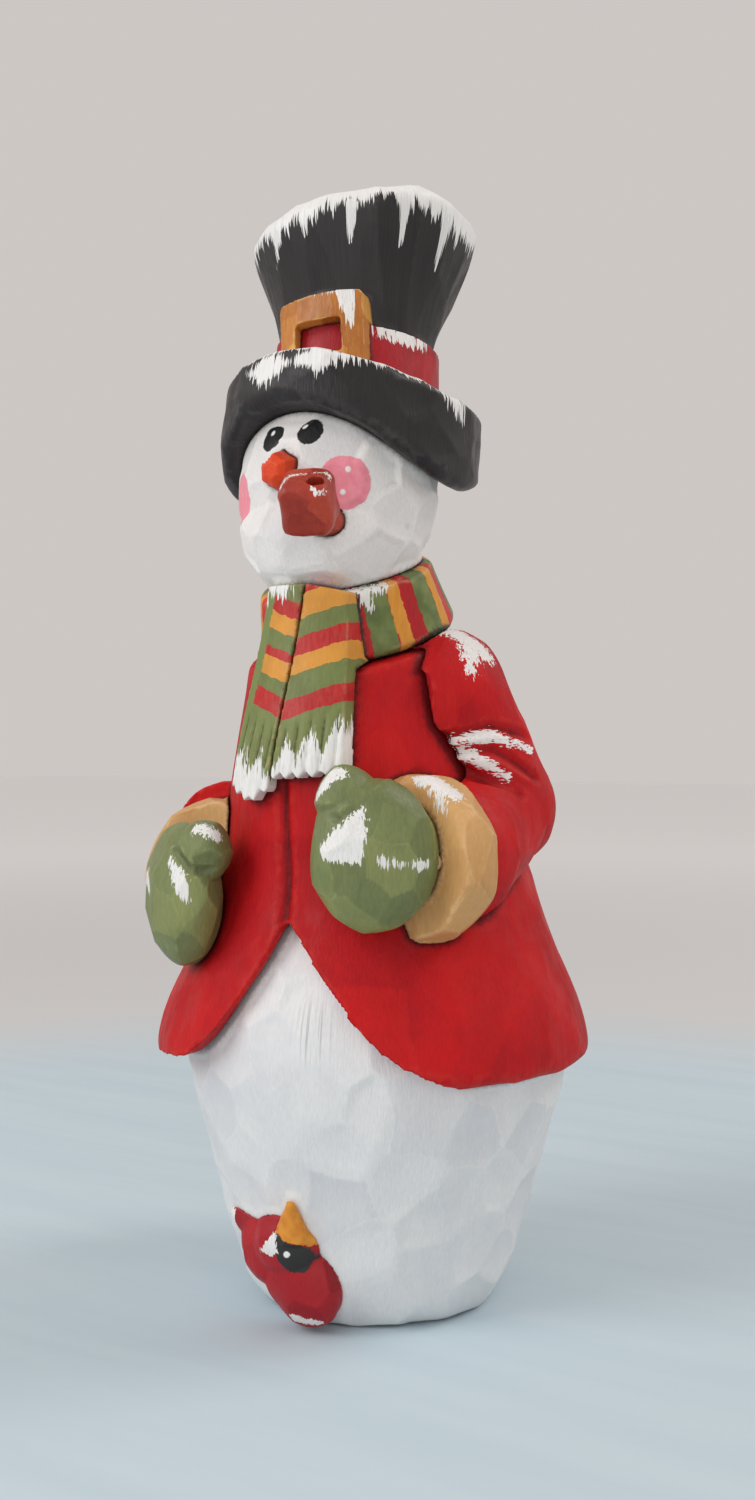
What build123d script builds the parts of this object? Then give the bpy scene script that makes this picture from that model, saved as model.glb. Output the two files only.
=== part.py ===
"""Wooden snowman figure: a pieced carving in a top hat, striped scarf and red tailcoat.

The figure stands on the flat foot of its white body block.  +Z is up, the figure faces -Y,
its own left hand is at +X, and the origin is the centre of the foot.  Every carved block is a
separate solid, and hidden birch dowels join the blocks.  Sizes are in millimetres.
"""

import os
from math import asin, cos, pi, radians, sin

from build123d import *

# ---- driving dimensions ----------------------------------------------------------------------
DOWEL_RADIUS = 3.0  # birch dowels at the waist, neck and hat
SMALL_DOWEL_RADIUS = 1.6  # birch dowels at the shoulders and wrists
GLUE_GAP = 0.05  # radial room for glue round every dowel
FLUSH = 60.0  # reach of a cutting tool that runs past the figure

FOOT_RADIUS = 19.8  # flat foot that the figure stands on
BODY_TOP = 70.0  # flat top of the body block, inside the coat
BODY_PROFILE = (  # (radius, height) up the side of the body block
    (FOOT_RADIUS, 0.0),
    (22.4, 3.0),
    (25.0, 10.0),
    (27.9, 20.0),
    (30.8, 30.0),
    (33.0, 40.0),
    (33.4, 47.0),
    (31.6, 55.0),
    (28.4, 63.0),
    (24.8, BODY_TOP),
)

COAT_HEM = 41.6  # lowest edge of the coat tails
COAT_SECTIONS = (  # (height, centre x, centre y, half width, half depth) of its outer ellipses
    (COAT_HEM, -0.9, 0.0, 37.8, 37.8),
    (47.0, -0.9, 0.0, 37.6, 37.6),
    (57.0, -0.6, 0.0, 33.8, 34.2),
    (66.0, -0.3, 0.0, 29.9, 30.5),
    (76.0, 0.0, -0.8, 26.6, 27.3),
    (86.0, 0.0, -2.0, 24.4, 26.0),
    (96.0, 0.0, -3.2, 22.2, 24.2),
    (104.0, 0.0, -4.2, 20.4, 21.8),
    (112.0, 0.0, -5.6, 18.0, 19.0),
    (126.0, 0.0, -8.0, 14.6, 15.4),
)
HEM_ROUNDING = 2.4
COAT_APEX = (1.2, 68.0)  # where the two front edges of the coat meet, in (x, z)
COAT_RIGHT_EDGE = (  # the coat's front edge on the figure's right, from below the hem up
    (-37.0, COAT_HEM - 4),
    (-29.0, 42.8),
    (-21.0, 43.8),
    (-13.4, 45.6),
    (-8.8, 49.1),
    (-4.2, 55.6),
    (-0.4, 62.7),
    COAT_APEX,
)
COAT_LEFT_EDGE = (  # and on its left, from the apex down
    COAT_APEX,
    (5.4, 63.6),
    (12.2, 56.5),
    (16.9, 51.3),
    (22.0, 46.6),
    (28.4, 42.0),
    (36.0, COAT_HEM - 4),
)

NECK_TILT = 20.5  # degrees that the neck leans forward
NECK_SEAT = (0.0, -6.0, 114.0)  # centre of the glue face between the coat and the scarf
WRAP_HEIGHT = 11.8
WRAP_FOOT_RADIUS = 17.4
WRAP_TOP_RADIUS = 15.0
WRAP_ROUNDING = 1.6

HEAD_CENTRE = (-0.4, -11.6, 138.5)
HEAD_AXES = (17.4, 17.4, 17.6)
JAW_CENTRE = (-0.4, -13.2, 131.5)
JAW_AXES = (15.8, 16.4, 12.6)

HAT_TILT = 8.5  # degrees that the hat leans back
HAT_CENTRE = (0.0, -7.6, 152.6)
BRIM_RADIUS = 22.6
BRIM_HALF_THICKNESS = 4.6
BRIM_TOP_DROOP = 5.0  # how far the brim's upper face sags at its sides
BRIM_UNDER_DROOP = 16.4  # how far its lower face sags there
BRIM_LOBE = (17.4, 7.8)  # where that sag turns steeper: (distance from the middle, sag)
BRIM_ROUNDING = 2.0
CROWN_SEAT = 3.0  # height, on the hat's axis, of the socket floor in the brim
CROWN_FLARE = (  # (radius, height) up the crown's side, on its own axis
    (13.5, CROWN_SEAT),
    (13.3, 11.0),
    (15.8, 19.5),
    (19.3, 28.5),
    (20.0, 33.0),
    (19.6, 42.0),
)
CROWN_LEAN = 2.4  # degrees that the crown leans to the figure's right
CROWN_TOP_CENTRE = (0.0, -3.0, 188.2)
CROWN_TOP_NORMAL = (-0.15, -0.06, 1.0)  # the crown's top is cut a little askew
CROWN_ROUNDING = 4.5
BAND_TOP = 11.2
BAND_FOOT_RADIUS = 14.8
BAND_TOP_RADIUS = 14.1
BUCKLE_TURN = 9.0  # degrees round the hat from its front, towards the figure's left
BUCKLE_SLANT = 6.0  # degrees that it sits askew
BUCKLE_WIDTH = 15.4
BUCKLE_HEIGHT = 12.6
BUCKLE_MIDDLE = 9.0
BUCKLE_CORNER = 0.8
BUCKLE_WINDOW_DROP = 0.9  # how far its window sits below its middle
BUCKLE_BAR = 3.6
BUCKLE_PROUD = 1.1
BUCKLE_FLARE = 1.2  # how much further out the buckle stands at the top

# Each arm runs through its shoulder, elbow and wrist, each a centre and a radius.
LEFT_ARM = ((13.5, -3.0, 103.2), 13.2), ((21.9, 4.6, 84.8), 10.2), ((21.6, -12.0, 77.6), 11.6)
RIGHT_ARM = ((-12.0, -2.0, 101.5), 11.0), ((-21.9, 4.4, 84.0), 10.4), ((-21.6, -12.0, 77.4), 12.6)
LEFT_CUFF_BACK = (21.4, -14.6, 77.6)
RIGHT_CUFF_BACK = (-21.4, -14.6, 73.2)
CUFF_AIM = (-0.20, -0.98, 0.0)  # direction of the forearm
CUFF_RADIUS = 13.8
CUFF_BACK_TAPER = 0.8  # how much less its radius is at the back than in the middle
CUFF_FRONT_TAPER = 1.0
CUFF_LENGTH = 8.0
CUFF_ROUNDING = 1.8
PALM_AXES = (10.2, 6.3, 12.3)  # half width, half depth, half height
LEFT_PALM = (18.4, -29.4, 78.6)
RIGHT_PALM = (-19.8, -29.4, 70.8)
THUMB_AXES = (5.2, 4.6, 5.2)
LEFT_THUMB = (14.4, -30.8, 87.6)
RIGHT_THUMB = (-13.4, -31.4, 78.6)
THUMB_LEAN = 12.0  # degrees that the thumb slopes in towards the chest
HAND_TURN = 33.0  # degrees that the back of the hand turns out from the front

PIPE_ENTRY = (7.8, -21.0, 131.7)  # on the stem's axis, inside the mouth
PIPE_AIM = (-0.03, -1.0, 0.0)
STEM_INSET = 5.0  # how far the stem reaches behind its entry point
STEM_RADIUS = 2.5
STEM_LENGTH = 11.0
BOWL_CENTRE = (9.0, -33.6, 133.6)
BOWL_SIZE = (8.6, 8.6, 9.6)
BOWL_ROUNDING = 2.3
BOWL_TURN = 22.0  # degrees that the bowl faces towards the figure's left
BOWL_TILT = 36.0  # degrees that it leans forward
BOWL_BORE_RADIUS = 1.3
BOWL_BORE_PLACE = (1.9, -1.5)  # the bore sits off the middle of the bowl's top
BOWL_BORE_DEPTH = 4.5

NOSE_BASE = (0.0, -25.6, 140.3)
NOSE_TIP = (0.0, -31.6, 139.8)
NOSE_RADIUS = 4.1
NOSE_BEVEL = 0.9
NOSE_TIP_SHARE = 0.62  # size of the nose's blunt tip against its root

TAIL_PROUD = 2.7  # thickness of the scarf tails over the chest
RIGHT_TAIL = ((-4.6, 122.0), (2.6, 122.0), (-1.4, 88.5), (-5.5, 86.2), (-10.4, 88.5))
LEFT_TAIL = ((3.0, 122.0), (9.6, 120.5), (11.4, 92.0), (8.0, 90.6), (-0.8, 90.2))

# Each form of the cardinal: its place round the body, (turn, height, radius), and its half axes.
BIRD_BELLY = (1.5, 9.4, 24.0), (6.9, 4.8, 9.3)
BIRD_BACK = (-13.0, 12.6, 25.0), (5.4, 4.2, 6.4)
BIRD_HEAD = (-2.0, 14.6, 25.6), (6.6, 4.6, 5.6)
BIRD_BELLY_LEAN = -34.0
BIRD_BACK_LEAN = -24.0
BEAK_AIM = (0.06, -0.22, 1.0)
CREST_AIM = (-1.0, 0.3, 0.25)

os.makedirs("parts", exist_ok=True)


# ---- helpers ---------------------------------------------------------------------------------
def save(builder, name):
    """Labels a finished piece and writes it to its own STEP file."""
    builder.part.label = name
    export_step(builder.part, f"parts/{name}.step")


def ellipsoid(centre, axes, turn=0.0, lean=0.0, seam=0.0):
    """A solid ellipsoid, leaned about Y and then turned about Z, at centre.

    seam turns the surface's own seam away from where other surfaces cross it.
    """
    with BuildPart() as egg:
        Sphere(1.0, rotation=(0, 0, seam))
        scale(by=axes)
    return Location(tuple(centre)) * Rot(0, 0, turn) * Rot(0, lean, 0) * egg.part


def axis_plane(origin, direction):
    """A plane at origin whose normal points along direction."""
    normal = Vector(direction).normalized()
    side = Vector(0, 0, 1) if abs(normal.Z) < 0.9 else Vector(1, 0, 0)
    return Plane(origin=origin, x_dir=side.cross(normal), z_dir=normal)


def rod(plane, radius, low, high):
    """A round rod along a plane's normal, from low to high."""
    return plane * Pos(0, 0, low) * Cylinder(
        radius, high - low, align=(Align.CENTER, Align.CENTER, Align.MIN), mode=Mode.PRIVATE
    )


neck = Plane(
    origin=NECK_SEAT,
    x_dir=(1, 0, 0),
    z_dir=(0, -sin(radians(NECK_TILT)), cos(radians(NECK_TILT))),
)
hat = Plane(
    origin=HAT_CENTRE,
    x_dir=(1, 0, 0),
    z_dir=(0, sin(radians(HAT_TILT)), cos(radians(HAT_TILT))),
)


# ---- dowels ----------------------------------------------------------------------------------
def dowel(name, plane, radius, low, high):
    """Writes one dowel with chamfered ends, and returns the hole that it needs."""
    with BuildPart() as pin:
        add(rod(plane, radius, low, high))
        chamfer(pin.edges().filter_by(GeomType.CIRCLE), length=radius * 0.2)
    save(pin, name)
    return rod(plane, radius + GLUE_GAP, low - 2 * GLUE_GAP, high + 2 * GLUE_GAP)


waist_hole = dowel("waist_dowel", Plane.XY, DOWEL_RADIUS, BODY_TOP - 13, BODY_TOP + 13)
neck_hole = dowel("neck_dowel", neck, DOWEL_RADIUS, -12.0, WRAP_HEIGHT + 9.0)
hat_hole = dowel("hat_dowel", hat, DOWEL_RADIUS, -11.0, CROWN_SEAT + 13.0)


# ---- body block ------------------------------------------------------------------------------
def body_solid():
    """The turned shape of the body block, before its dowel hole."""
    with BuildPart() as block:
        with BuildSketch(Plane.XZ):
            with BuildLine():
                side = Spline(*BODY_PROFILE)
                Polyline(side @ 1, (0, BODY_TOP), (0, 0), side @ 0)
            make_face()
        revolve(axis=Axis.Z)
    return block.part


body_shape = body_solid()
with BuildPart() as body:
    add(body_shape)
    add(waist_hole, mode=Mode.SUBTRACT)
save(body, "body")


# ---- coat ------------------------------------------------------------------------------------
def coat_envelope(grow, low, high):
    """The coat's outer form between two heights, grown outwards by grow."""
    with BuildPart() as form:
        for height, x, y, half_width, half_depth in COAT_SECTIONS:
            if low <= height <= high:
                with BuildSketch(Plane.XY.offset(height)):
                    with Locations((x, y)):
                        Ellipse(half_width + grow, half_depth + grow)
        loft()
    return form.part


def coat_opening():
    """The tool that cuts the coat away in front, below the apex, so that the belly shows."""
    with BuildPart() as tool:
        with BuildSketch(Plane.XZ):
            with BuildLine():
                left = Spline(*COAT_RIGHT_EDGE)
                right = Spline(*COAT_LEFT_EDGE)
                Line(right @ 1, left @ 0)
            make_face()
        extrude(amount=FLUSH)
    return tool.part


with BuildPart() as coat:
    add(coat_envelope(0.0, COAT_HEM, 126.0))
    fillet(coat.faces().sort_by(Axis.Z)[0].edges(), radius=HEM_ROUNDING)
    with BuildSketch(neck):
        Rectangle(2 * FLUSH, 2 * FLUSH)
    extrude(amount=FLUSH, mode=Mode.SUBTRACT)
    add(body_shape, mode=Mode.SUBTRACT)
    add(coat_opening(), mode=Mode.SUBTRACT)
    add(waist_hole, mode=Mode.SUBTRACT)
    add(neck_hole, mode=Mode.SUBTRACT)
coat_whole = coat.part

# ---- scarf wrap ------------------------------------------------------------------------------
with BuildPart() as scarf_wrap:
    with BuildSketch(neck):
        Circle(WRAP_FOOT_RADIUS)
    with BuildSketch(neck.offset(WRAP_HEIGHT)):
        Circle(WRAP_TOP_RADIUS)
    loft()
    fillet(scarf_wrap.edges().filter_by(GeomType.CIRCLE), radius=WRAP_ROUNDING)
    add(neck_hole, mode=Mode.SUBTRACT)


# ---- hat shapes ------------------------------------------------------------------------------
def turned_about_hat(*outline):
    """A solid turned about the hat's axis from an outline in (radius, height)."""
    with BuildPart() as turned:
        section = Plane(origin=hat.origin, x_dir=(1, 0, 0), z_dir=hat.y_dir * -1)
        with BuildSketch(section):
            with BuildLine():
                Polyline(*outline, close=True)
            make_face()
        revolve(axis=Axis(hat.origin, hat.z_dir))
    return turned.part


def crown_solid():
    """The flared crown with its askew, rounded top."""
    lean = Plane(hat * Rot(0, -CROWN_LEAN, 0))
    with BuildPart() as crown:
        with BuildSketch(Plane(origin=lean.origin, x_dir=lean.x_dir, z_dir=lean.y_dir * -1)):
            with BuildLine():
                flare = Spline(*CROWN_FLARE)
                Polyline(flare @ 1, (0, CROWN_FLARE[-1][1]), (0, CROWN_SEAT), flare @ 0)
            make_face()
        revolve(axis=Axis(lean.origin, lean.z_dir))
        with BuildSketch(axis_plane(CROWN_TOP_CENTRE, CROWN_TOP_NORMAL)):
            Rectangle(FLUSH, FLUSH)
        extrude(amount=FLUSH / 2, mode=Mode.SUBTRACT)
        fillet(crown.faces().sort_by(Axis.Z)[-1].edges(), radius=CROWN_ROUNDING)
    return crown.part


crown_shape = crown_solid()

# ---- hat brim --------------------------------------------------------------------------------
with BuildPart() as hat_brim:
    brim_front = Plane(origin=hat.origin, x_dir=(1, 0, 0), z_dir=hat.y_dir * -1)
    top, foot = BRIM_HALF_THICKNESS, -BRIM_HALF_THICKNESS
    with BuildSketch(brim_front):
        with BuildLine():
            upper = ThreePointArc(
                (-BRIM_RADIUS, top - BRIM_TOP_DROOP), (0, top), (BRIM_RADIUS, top - BRIM_TOP_DROOP)
            )
            lower = Spline(
                (-BRIM_RADIUS, foot - BRIM_UNDER_DROOP),
                (-BRIM_LOBE[0], foot - BRIM_LOBE[1]),
                (0, foot),
                (BRIM_LOBE[0], foot - BRIM_LOBE[1]),
                (BRIM_RADIUS, foot - BRIM_UNDER_DROOP),
            )
            Line(upper @ 0, lower @ 0)
            Line(upper @ 1, lower @ 1)
        make_face()
    extrude(amount=BRIM_RADIUS + 1, both=True)
    add(rod(hat, BRIM_RADIUS - 0.2, -FLUSH, FLUSH), mode=Mode.INTERSECT)
    fillet(hat_brim.edges().filter_by(GeomType.LINE, reverse=True), radius=BRIM_ROUNDING)
    brim_block = hat_brim.part
    add(crown_shape, mode=Mode.SUBTRACT)
    add(hat_hole, mode=Mode.SUBTRACT)
save(hat_brim, "hat_brim")


# ---- hat crown, band and buckle --------------------------------------------------------------
with BuildPart() as hat_crown:
    add(crown_shape)
    add(hat_hole, mode=Mode.SUBTRACT)
save(hat_crown, "hat_crown")

with BuildPart() as hat_band:
    band_outside = (BAND_FOOT_RADIUS, 0), (BAND_TOP_RADIUS, BAND_TOP)
    add(turned_about_hat((10, 0), *band_outside, (10, BAND_TOP)))
    add(crown_shape, mode=Mode.SUBTRACT)
    add(hat_brim.part, mode=Mode.SUBTRACT)
band_pieces = hat_band.part.solids().sort_by(SortBy.VOLUME)
with BuildPart() as hat_band:
    add(band_pieces[-1])
save(hat_band, "hat_band")

with BuildPart() as hat_buckle:
    face = Plane(hat * Rot(0, 0, BUCKLE_TURN))
    front = Plane(origin=face.origin, x_dir=face.x_dir, z_dir=face.y_dir * -1)
    with BuildSketch(front):
        with Locations((0, BUCKLE_MIDDLE)):
            RectangleRounded(BUCKLE_WIDTH, BUCKLE_HEIGHT, BUCKLE_CORNER, rotation=BUCKLE_SLANT)
        with Locations((0, BUCKLE_MIDDLE - BUCKLE_WINDOW_DROP)):
            inner = (BUCKLE_WIDTH - 2 * BUCKLE_BAR, BUCKLE_HEIGHT - 2 * BUCKLE_BAR)
            Rectangle(*inner, rotation=BUCKLE_SLANT, mode=Mode.SUBTRACT)
    extrude(amount=FLUSH)
    face_radius = BAND_FOOT_RADIUS + BUCKLE_PROUD
    buckle_outside = (face_radius, 0), (face_radius + BUCKLE_FLARE, 20)
    add(turned_about_hat((10, 0), *buckle_outside, (10, 20)), mode=Mode.INTERSECT)
    for neighbour in (crown_shape, hat_band.part, hat_brim.part):
        add(neighbour, mode=Mode.SUBTRACT)
buckle_pieces = hat_buckle.part.solids().sort_by(SortBy.VOLUME)
with BuildPart() as hat_buckle:
    add(buckle_pieces[-1])
save(hat_buckle, "hat_buckle")


# ---- head and nose ---------------------------------------------------------------------------
skull = ellipsoid(HEAD_CENTRE, HEAD_AXES)
jaw = ellipsoid(JAW_CENTRE, JAW_AXES)
with BuildPart() as head:
    add(skull)
    add(jaw)
    with BuildSketch(neck.offset(WRAP_HEIGHT)):
        Rectangle(2 * FLUSH, 2 * FLUSH)
    extrude(amount=-FLUSH, mode=Mode.SUBTRACT)
    with BuildSketch(hat):
        Rectangle(2 * FLUSH, 2 * FLUSH)
    extrude(amount=FLUSH, mode=Mode.SUBTRACT)
    add(brim_block, mode=Mode.SUBTRACT)
    add(neck_hole, mode=Mode.SUBTRACT)
    add(hat_hole, mode=Mode.SUBTRACT)
head_block = head.part.solids().sort_by(SortBy.VOLUME)[-1]

nose_aim = Vector(NOSE_TIP) - Vector(NOSE_BASE)
nose_plane = axis_plane(NOSE_BASE, nose_aim)
with BuildPart() as nose:
    with BuildSketch(nose_plane):
        RegularPolygon(NOSE_RADIUS, 6, rotation=30)
    with BuildSketch(nose_plane.offset(nose_aim.length)):
        RegularPolygon(NOSE_RADIUS * NOSE_TIP_SHARE, 6, rotation=30)
    loft()
    chamfer(nose.faces().sort_by(Axis.Y)[0].edges(), length=NOSE_BEVEL)
save(nose, "nose")

# ---- pipe ------------------------------------------------------------------------------------
pipe = axis_plane(PIPE_ENTRY, PIPE_AIM)
with BuildPart() as pipe_stem:
    add(rod(pipe, STEM_RADIUS, -STEM_INSET, STEM_LENGTH))
save(pipe_stem, "pipe_stem")

bowl = Plane(Location(BOWL_CENTRE) * Rot(0, 0, BOWL_TURN) * Rot(BOWL_TILT, 0, 0))
bore = bowl * Pos(*BOWL_BORE_PLACE, 0)
bowl_bore = rod(bore, BOWL_BORE_RADIUS, BOWL_SIZE[2] / 2 - BOWL_BORE_DEPTH, BOWL_SIZE[2])
stem_hole = rod(pipe, STEM_RADIUS, -STEM_INSET, STEM_LENGTH)
with BuildPart() as pipe_bowl:
    with Locations(bowl.location):
        Box(*BOWL_SIZE)
    fillet(pipe_bowl.edges(), radius=BOWL_ROUNDING)
    add(bowl_bore, mode=Mode.SUBTRACT)
    add(stem_hole, mode=Mode.SUBTRACT)
save(pipe_bowl, "pipe_bowl")

with BuildPart() as head:
    add(head_block)
    add(nose.part, mode=Mode.SUBTRACT)
    add(stem_hole, mode=Mode.SUBTRACT)
save(head, "head")

# ---- scarf tails -----------------------------------------------------------------------------
tail_envelope = coat_envelope(TAIL_PROUD, 76.0, 126.0)


def scarf_tail(outline):
    """One hanging scarf tail, cut from a skin over the chest to an outline in (x, z)."""
    with BuildPart() as tail:
        with BuildSketch(Plane.XZ):
            with BuildLine():
                Polyline(*outline, close=True)
            make_face()
        extrude(amount=FLUSH)
        add(tail_envelope, mode=Mode.INTERSECT)
        for neighbour in (coat_whole, scarf_wrap.part, head.part):
            add(neighbour, mode=Mode.SUBTRACT)
    return tail.part.solids().sort_by(SortBy.VOLUME)[-1]


tails = {}
for tail_side, tail_outline in (("right", RIGHT_TAIL), ("left", LEFT_TAIL)):
    with BuildPart() as tail_piece:
        add(scarf_tail(tail_outline))
    save(tail_piece, f"scarf_tail_{tail_side}")
    tails[tail_side] = tail_piece.part


# ---- arms ------------------------------------------------------------------------------------
def limb(first, second):
    """A tapered limb with ball ends between two knuckles, each a centre and a radius."""
    (start, start_radius), (end, end_radius) = first, second
    aim = Vector(end) - Vector(start)
    slope = asin((start_radius - end_radius) / aim.length)
    lower, upper = (pi + 2 * slope) / 4, (pi - 2 * slope) / 4

    def on_ball(centre, radius, angle):
        return (radius * sin(angle), centre + radius * cos(angle))

    with BuildPart() as capsule:
        with BuildSketch(Plane.XZ):
            with BuildLine():
                heel = ThreePointArc(
                    (0, -start_radius),
                    on_ball(0, start_radius, pi - lower),
                    on_ball(0, start_radius, pi / 2 - slope),
                )
                toe = ThreePointArc(
                    on_ball(aim.length, end_radius, pi / 2 - slope),
                    on_ball(aim.length, end_radius, upper),
                    (0, aim.length + end_radius),
                )
                Line(heel @ 1, toe @ 0)
                Line(toe @ 1, heel @ 0)
            make_face()
        revolve(axis=Axis.Z)
    return axis_plane(start, aim) * capsule.part


def cut_plane(origin, direction, behind):
    """A large slab on one side of a plane, used to trim a piece flat."""
    with BuildPart() as slab:
        with BuildSketch(axis_plane(origin, direction)):
            Rectangle(FLUSH, FLUSH)
        extrude(amount=-FLUSH / 2 if behind else FLUSH / 2)
    return slab.part


ARMS = {
    "left": (1, LEFT_ARM, LEFT_CUFF_BACK, LEFT_PALM, LEFT_THUMB),
    "right": (-1, RIGHT_ARM, RIGHT_CUFF_BACK, RIGHT_PALM, RIGHT_THUMB),
}
holes_in_coat = []
for side_name, (side, knuckles, cuff_back, palm_centre, thumb_centre) in ARMS.items():
    aim = (CUFF_AIM[0] * side, CUFF_AIM[1], CUFF_AIM[2])
    cuff_plane = axis_plane(cuff_back, aim)
    shoulder_plane = axis_plane((13.0 * side, -2.0, 97.0), (side, 0.15, 0))
    shoulder_dowel = f"{side_name}_shoulder_dowel"
    shoulder_hole = dowel(shoulder_dowel, shoulder_plane, SMALL_DOWEL_RADIUS, 0.0, 12.0)
    wrist_start = Vector(cuff_back) + Vector(6.0 * side, 0, 0)
    wrist_plane = axis_plane(wrist_start, aim)
    wrist_dowel = f"{side_name}_wrist_dowel"
    wrist_reach = CUFF_LENGTH + 4.0
    wrist_hole = dowel(wrist_dowel, wrist_plane, SMALL_DOWEL_RADIUS, -5.0, wrist_reach)
    holes_in_coat.append(shoulder_hole)

    shoulder, (elbow, elbow_radius), wrist = knuckles
    upper_arm = limb(shoulder, (elbow, elbow_radius))
    forearm = limb((elbow, elbow_radius - 0.4), wrist)
    with BuildPart() as sleeve:
        add(upper_arm)
        add(forearm)
        add(cut_plane(cuff_back, aim, behind=False), mode=Mode.SUBTRACT)
        for neighbour in (coat_whole, body_shape, scarf_wrap.part, shoulder_hole, wrist_hole):
            add(neighbour, mode=Mode.SUBTRACT)
    sleeve_piece = sleeve.part.solids().sort_by(SortBy.VOLUME)[-1]
    with BuildPart() as sleeve:
        add(sleeve_piece)
    save(sleeve, f"{side_name}_sleeve")

    with BuildPart() as cuff:
        with BuildSketch(cuff_plane):
            Circle(CUFF_RADIUS - CUFF_BACK_TAPER)
        with BuildSketch(cuff_plane.offset(CUFF_LENGTH / 2)):
            Circle(CUFF_RADIUS)
        with BuildSketch(cuff_plane.offset(CUFF_LENGTH)):
            Circle(CUFF_RADIUS - CUFF_FRONT_TAPER)
        loft()
        fillet(cuff.faces().sort_by(Axis.Y)[0].edges(), radius=CUFF_ROUNDING)
        for neighbour in (coat_whole, body_shape, wrist_hole):
            add(neighbour, mode=Mode.SUBTRACT)
    cuff_piece = cuff.part.solids().sort_by(SortBy.VOLUME)[-1]
    with BuildPart() as cuff:
        add(cuff_piece)
    save(cuff, f"{side_name}_cuff")

    hand_turn = HAND_TURN * side
    hand_seam = 45.0 + 45.0 * side
    cuff_front = Vector(cuff_back) + Vector(aim).normalized() * CUFF_LENGTH
    palm = ellipsoid(palm_centre, PALM_AXES, hand_turn, seam=hand_seam)
    thumb = ellipsoid(thumb_centre, THUMB_AXES, hand_turn, -THUMB_LEAN * side, hand_seam)
    behind_cuff = cut_plane(cuff_front, aim, behind=True)
    with BuildPart() as mitten:
        add(palm)
        add(thumb)
        add(behind_cuff, mode=Mode.SUBTRACT)
        for neighbour in (coat_whole, tails[side_name], wrist_hole):
            add(neighbour, mode=Mode.SUBTRACT)
    mitten_piece = mitten.part.solids().sort_by(SortBy.VOLUME)[-1]
    with BuildPart() as mitten:
        add(mitten_piece)
    save(mitten, f"{side_name}_mitten")

with BuildPart() as coat:
    add(coat_whole)
    for hole in holes_in_coat:
        add(hole, mode=Mode.SUBTRACT)
coat_piece = coat.part.solids().sort_by(SortBy.VOLUME)[-1]
with BuildPart() as coat:
    add(coat_piece)
save(coat, "coat")
save(scarf_wrap, "scarf_wrap")


# ---- cardinal --------------------------------------------------------------------------------
def on_body(turn, height, radius):
    """A point at a turn round the body from its front, towards the figure's left."""
    return (radius * sin(radians(turn)), -radius * cos(radians(turn)), height)


def bird_form(place, axes, lean=0.0):
    """One ellipsoid of the cardinal, facing out of the body where it sits."""
    turn, height, radius = place
    return ellipsoid(on_body(turn, height, radius), axes, turn, lean)


with BuildPart() as cardinal:
    add(bird_form(*BIRD_BELLY, BIRD_BELLY_LEAN))
    add(bird_form(*BIRD_BACK, BIRD_BACK_LEAN))
    add(bird_form(*BIRD_HEAD))
    with BuildSketch(axis_plane(on_body(3.0, 16.0, 27.6), BEAK_AIM)):
        Ellipse(2.8, 3.6)
    with BuildSketch(axis_plane(on_body(4.5, 22.4, 29.6), BEAK_AIM)):
        Ellipse(0.6, 0.7)
    loft()
    with BuildSketch(axis_plane(on_body(-8.0, 13.8, 26.0), CREST_AIM)):
        Ellipse(2.8, 4.4)
    with BuildSketch(axis_plane(on_body(-27.5, 17.6, 28.0), CREST_AIM)):
        Ellipse(0.6, 0.8)
    loft()
    add(body_shape, mode=Mode.SUBTRACT)
    with BuildSketch(Plane.XY):
        Rectangle(2 * FLUSH, 2 * FLUSH)
    extrude(amount=-FLUSH, mode=Mode.SUBTRACT)
cardinal_piece = cardinal.part.solids().sort_by(SortBy.VOLUME)[-1]
with BuildPart() as cardinal:
    add(cardinal_piece)
save(cardinal, "cardinal")
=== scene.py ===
"""Looks of the wooden snowman figure, round its CAD frame: knife-cut facets and brushed acrylic."""

import math

import bmesh
import bpy
import numpy as np
from mathutils.bvhtree import BVHTree
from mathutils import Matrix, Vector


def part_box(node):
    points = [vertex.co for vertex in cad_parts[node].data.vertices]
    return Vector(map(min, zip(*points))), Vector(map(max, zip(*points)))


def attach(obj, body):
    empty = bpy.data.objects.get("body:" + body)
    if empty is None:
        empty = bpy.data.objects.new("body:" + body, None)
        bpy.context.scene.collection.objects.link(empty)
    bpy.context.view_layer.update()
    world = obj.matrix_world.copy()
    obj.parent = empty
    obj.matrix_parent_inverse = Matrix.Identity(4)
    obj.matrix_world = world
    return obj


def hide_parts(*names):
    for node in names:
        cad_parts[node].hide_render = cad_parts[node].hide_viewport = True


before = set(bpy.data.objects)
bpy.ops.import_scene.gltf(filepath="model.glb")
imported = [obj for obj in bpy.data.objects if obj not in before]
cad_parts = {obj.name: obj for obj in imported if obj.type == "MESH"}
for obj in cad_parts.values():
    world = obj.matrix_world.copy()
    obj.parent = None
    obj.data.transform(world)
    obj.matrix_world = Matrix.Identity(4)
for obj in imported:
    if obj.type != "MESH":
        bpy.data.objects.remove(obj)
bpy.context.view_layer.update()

MM = 0.001  # a millimetre in the scene's metres

# On the carving, in mm.
REACH = 6.0  # how far a piece looks for its neighbours
SEAM_STAIN_AND_SHADE = 0.55  # how far the antiquing and painted shade in a seam fade over
RIDGE_HEIGHT = 0.12  # how far a ridge or a facet stands out at most
BUMP_HEIGHT = 0.12  # how high the paint's bristle marks stand

# In the studio, in metres.
STUDIO_AZIMUTH = 33.0  # degrees that the camera stands round towards the figure's left
STUDIO_DISTANCE = 0.280
STUDIO_EYE = 0.095
CHEST = 0.09  # the height that the lamps aim at
FLOOR_HALF_WIDTH = 4.0
LENS = 38.0  # in mm, on a sensor SENSOR mm wide
SENSOR = 36.0

# ---------------------------------------------------------------- shapes


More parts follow.
